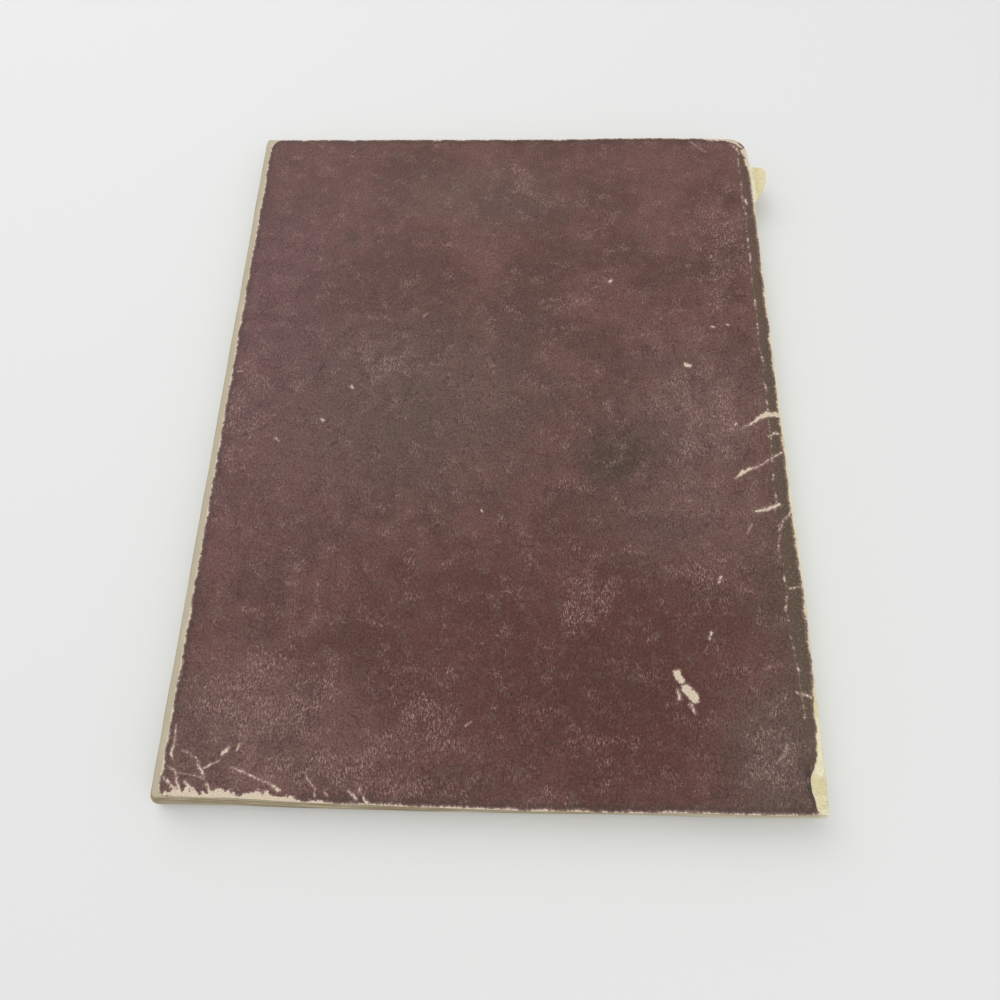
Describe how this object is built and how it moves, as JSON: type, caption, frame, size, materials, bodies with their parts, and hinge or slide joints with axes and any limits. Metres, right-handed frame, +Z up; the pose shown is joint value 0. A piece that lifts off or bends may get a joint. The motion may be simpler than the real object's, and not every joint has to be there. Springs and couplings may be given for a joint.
{
  "type": "paperback book",
  "caption": "Worn letter-size paperback book with embossed card covers that fold open at a scored crease beside a torn spine.",
  "frame": {"origin": "middle of the trimmed sheet, on the outer face of the front cover, which the book rests on", "axes": "+Z up out of the back cover, +Y to the head of the book, +X to the spine"},
  "size_m": [0.2276, 0.2816, 0.0125],
  "materials": {
    "pages": "uncoated paper, yellowed and greyed at its cut edges",
    "glue": "aged spine glue, dull amber",
    "lining_paper": "cream lining paper, soiled with old glue and torn",
    "cover_card": "maroon-brown card embossed with a fine leather grain, scuffed, cream at its worn edges and cracks"
  },
  "bodies": {
    "block": {"page_block": "pages", "spine_glue": "glue", "spine_lining": "lining_paper", "back_hinge_strip": "cover_card", "front_hinge_strip": "cover_card"},
    "back_cover": {"back_cover": "cover_card"},
    "front_cover": {"front_cover": "cover_card"}
  },
  "joints": [
    {"name": "back_cover_hinge", "type": "hinge", "parent": "block", "child": "back_cover", "pos_m": [0.10375, 0, 0.0125], "axis": [0, 1, 0], "range_deg": [0, 180]},
    {"name": "front_cover_hinge", "type": "hinge", "parent": "block", "child": "front_cover", "pos_m": [0.10375, 0, 0], "axis": [0, -1, 0], "range_deg": [0, 180]}
  ]
}
